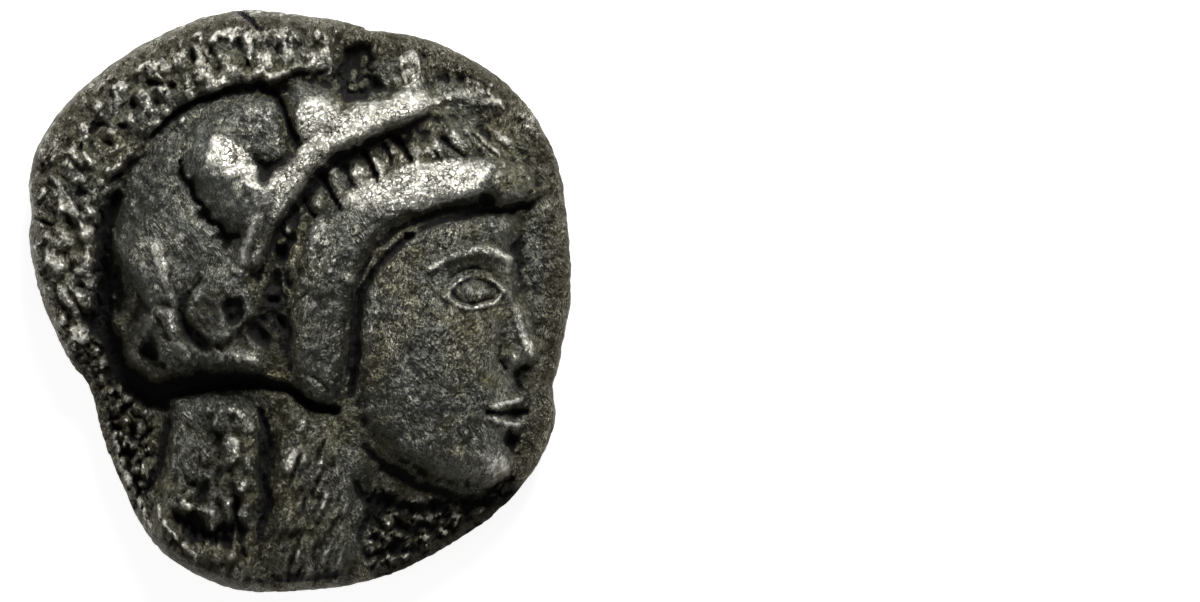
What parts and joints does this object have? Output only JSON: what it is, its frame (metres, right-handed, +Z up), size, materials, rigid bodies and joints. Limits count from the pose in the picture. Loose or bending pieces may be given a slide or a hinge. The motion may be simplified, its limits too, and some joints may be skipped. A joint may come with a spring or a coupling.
{
  "type": "silver obol coin",
  "caption": "Small thick hand-struck silver coin with a helmeted head on one face and an owl with an olive sprig in a sunk field on the other.",
  "frame": {"origin": "middle of the coin's box, on the surface it lies on, under its reverse", "axes": "+Z up out of the obverse, +Y to the top of the head, +X the way the head faces"},
  "size_m": [0.0086, 0.0092, 0.0018],
  "materials": {
    "silver": "dark toned, granular worn silver with olive-brown earth in the hollows and bright worn high points"
  },
  "bodies": {
    "root": {"obol": "silver"}
  },
  "joints": []
}
